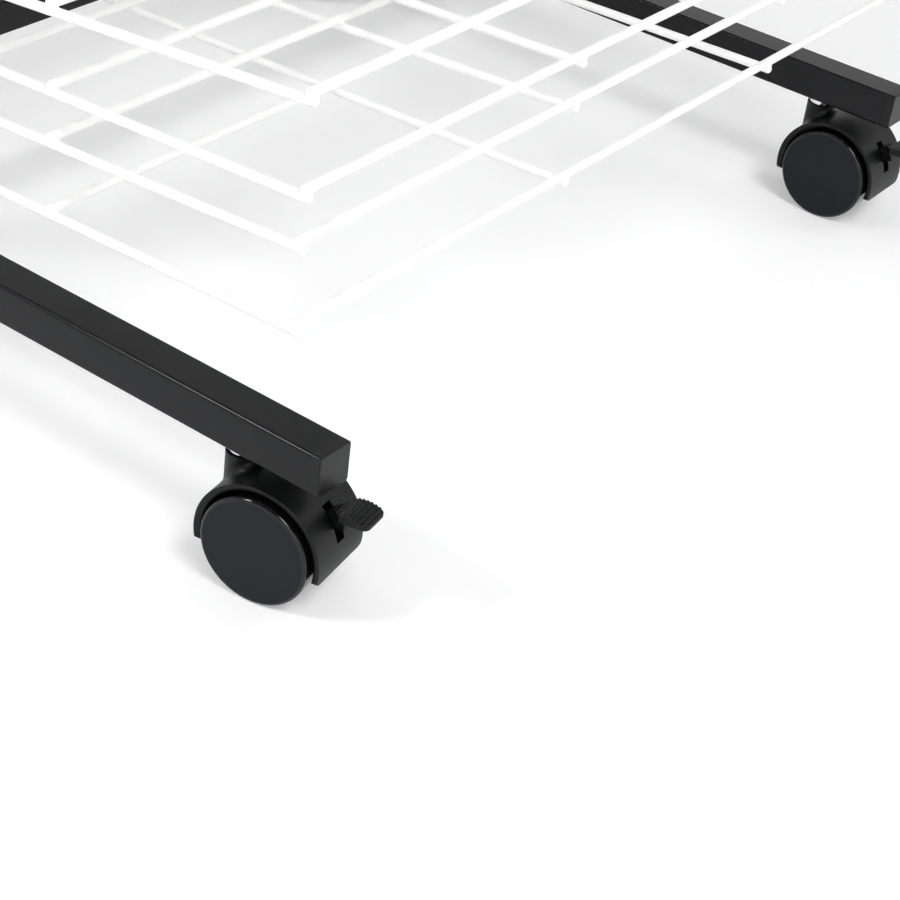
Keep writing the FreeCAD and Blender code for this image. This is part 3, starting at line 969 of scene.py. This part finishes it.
def make_floor_white():
    """Matt white studio floor, seen a little brighter than it is lit, that fades into the sweep."""
    material, shader, place = new_material("studio_floor")
    shader.inputs["Base Color"].default_value = srgb("f2f2f3")
    shader.inputs["Roughness"].default_value = 0.9
    shader.inputs["Specular IOR Level"].default_value = 0.0
    shader.inputs["Emission Color"].default_value = srgb("ffffff")
    rays = add_node(material, "ShaderNodeLightPath").outputs
    seen = rays["Is Camera Ray"]
    for kind in ("Is Glossy Ray", "Is Transmission Ray"):
        seen = add_node(material, "ShaderNodeMath", {0: seen, 1: rays[kind]},
                        operation="MAXIMUM").outputs["Value"]
    lift = add_node(material, "ShaderNodeMath", {0: seen, 1: floor_lift}, operation="MULTIPLY")
    link(material, lift.outputs["Value"], shader, "Emission Strength")
    reach = add_node(material, "ShaderNodeVectorMath", {0: place}, operation="LENGTH")
    far = add_node(material, "ShaderNodeMapRange",
                   {"Value": reach.outputs["Value"], "From Min": floor_fade[0],
                    "From Max": floor_fade[1]}, interpolation_type="SMOOTHSTEP")
    share = add_node(material, "ShaderNodeMath", {0: seen, 1: far.outputs["Result"]},
                     operation="MULTIPLY")
    sweep = add_node(material, "ShaderNodeEmission", {"Strength": backdrop_tone})
    mixed = add_node(material, "ShaderNodeMixShader",
                     {0: share.outputs["Value"], 1: shader.outputs["BSDF"],
                      2: sweep.outputs["Emission"]})
    surface = material.node_tree.nodes["Material Output"]
    material.node_tree.links.new(mixed.outputs["Shader"], surface.inputs["Surface"])
    return material


bpy.ops.object.select_all(action="DESELECT")
bpy.ops.mesh.primitive_plane_add(size=floor_size, location=(0, 0, 0))
floor = bpy.context.object
floor.name = "studio_floor"
floor.data.materials.append(make_floor_white())

scene = bpy.context.scene
scene.view_settings.view_transform = "Standard"
world = bpy.data.worlds.new("studio_world")
scene.world = world
world.use_nodes = True
direction = add_node(world, "ShaderNodeTexCoord").outputs["Generated"]
height = add_node(world, "ShaderNodeSeparateXYZ", {"Vector": direction}).outputs["Z"]
glow = add_node(world, "ShaderNodeMapRange",
                {"Value": height, "From Min": sweep_top[0], "From Max": sweep_top[1],
                 "To Min": sweep_light, "To Max": ceiling_light}, interpolation_type="SMOOTHSTEP")
seen = add_node(world, "ShaderNodeLightPath").outputs["Is Camera Ray"]
shown = add_node(world, "ShaderNodeMath",
                 {0: seen, 1: backdrop_tone - sweep_light, 2: glow.outputs["Result"]},
                 operation="MULTIPLY_ADD")
background = world.node_tree.nodes["Background"]
background.inputs["Color"].default_value = (1, 1, 1, 1)
world.node_tree.links.new(shown.outputs["Value"], background.inputs["Strength"])


def add_softbox(name, place, target, width, height, power):
    """Rectangular soft lamp at place, aimed at target."""
    lamp = bpy.data.lights.new(name, "AREA")
    lamp.shape = "RECTANGLE"
    lamp.size = width
    lamp.size_y = height
    lamp.energy = power
    softbox = bpy.data.objects.new(name, lamp)
    scene.collection.objects.link(softbox)
    softbox.location = place
    aim = Vector(target) - Vector(place)
    softbox.rotation_mode = "QUATERNION"
    softbox.rotation_quaternion = aim.to_track_quat("-Z", "Y")
    return softbox


add_softbox("main_softbox", (-0.98, -1.89, 2.62), (0.0, -0.05, 0.1), 1.05, 1.05, 41)
add_softbox("edge_softbox", (-2.4, 1.7, 2.5), (-0.2, -0.1, 0.1), 0.72, 0.5, 45)
add_softbox("right_softbox", (1.6, -1.3, 1.9), (0.0, -0.1, 0.1), 0.9, 0.9, 8)
add_softbox("front_softbox", (-1.5, -1.6, 0.9), (-0.1, -0.1, 0.1), 1.2, 1.0, 6)

camera_lens = 85.3
camera_sensor = 36
camera_azimuth = -57.49  # angles in degrees
camera_elevation = 34.40
camera_roll = 7.75
camera_place = (-0.78675, -0.62982, 0.54683)
camera_data = bpy.data.cameras.new("camera")
camera_data.sensor_width = camera_sensor
camera_data.lens = camera_lens
camera = bpy.data.objects.new("camera", camera_data)
scene.collection.objects.link(camera)
azimuth, elevation = math.radians(camera_azimuth), math.radians(camera_elevation)
back = Vector((math.sin(azimuth) * math.cos(elevation), -math.cos(azimuth) * math.cos(elevation),
               math.sin(elevation)))
camera.location = camera_place
camera.rotation_mode = "QUATERNION"
camera.rotation_quaternion = (back.to_track_quat("Z", "Y")
                              @ Quaternion((0, 0, 1), math.radians(camera_roll)))
camera_data.clip_start = 0.01
camera_data.clip_end = 50
scene.camera = camera
